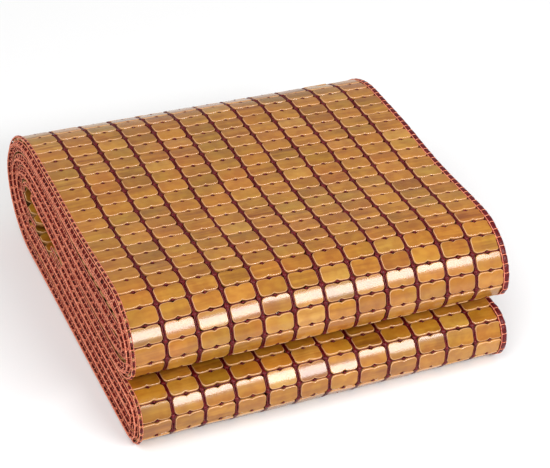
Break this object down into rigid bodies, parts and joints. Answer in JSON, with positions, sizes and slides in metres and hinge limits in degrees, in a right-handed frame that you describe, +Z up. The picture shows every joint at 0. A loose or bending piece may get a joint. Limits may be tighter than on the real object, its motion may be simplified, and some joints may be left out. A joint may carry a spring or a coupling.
{
  "type": "folded bamboo tile mat",
  "caption": "Bed mat of small varnished bamboo tiles strung on dark red cords, folded into a thick bundle with two rounded noses and one round turn.",
  "frame": {"origin": "centre of the bounding box at its base, on the surface the bundle rests on", "axes": "+X along the width of the tile columns, towards the bound edge; +Y from the two noses to the round turn; +Z up"},
  "size_m": [0.4704, 0.4883, 0.159],
  "materials": {
    "bamboo_tile": "glossy varnish",
    "maroon_cord": "knitted cord"
  },
  "bodies": {
    "root": {"panel_1": "bamboo_tile", "panel_2": "bamboo_tile", "panel_3": "bamboo_tile", "panel_4": "bamboo_tile", "hinge_net_left_12": "maroon_cord", "hinge_net_left_34": "maroon_cord", "hinge_net_right_23": "maroon_cord", "side_binding_1": "maroon_cord", "side_binding_4": "maroon_cord"}
  },
  "joints": []
}
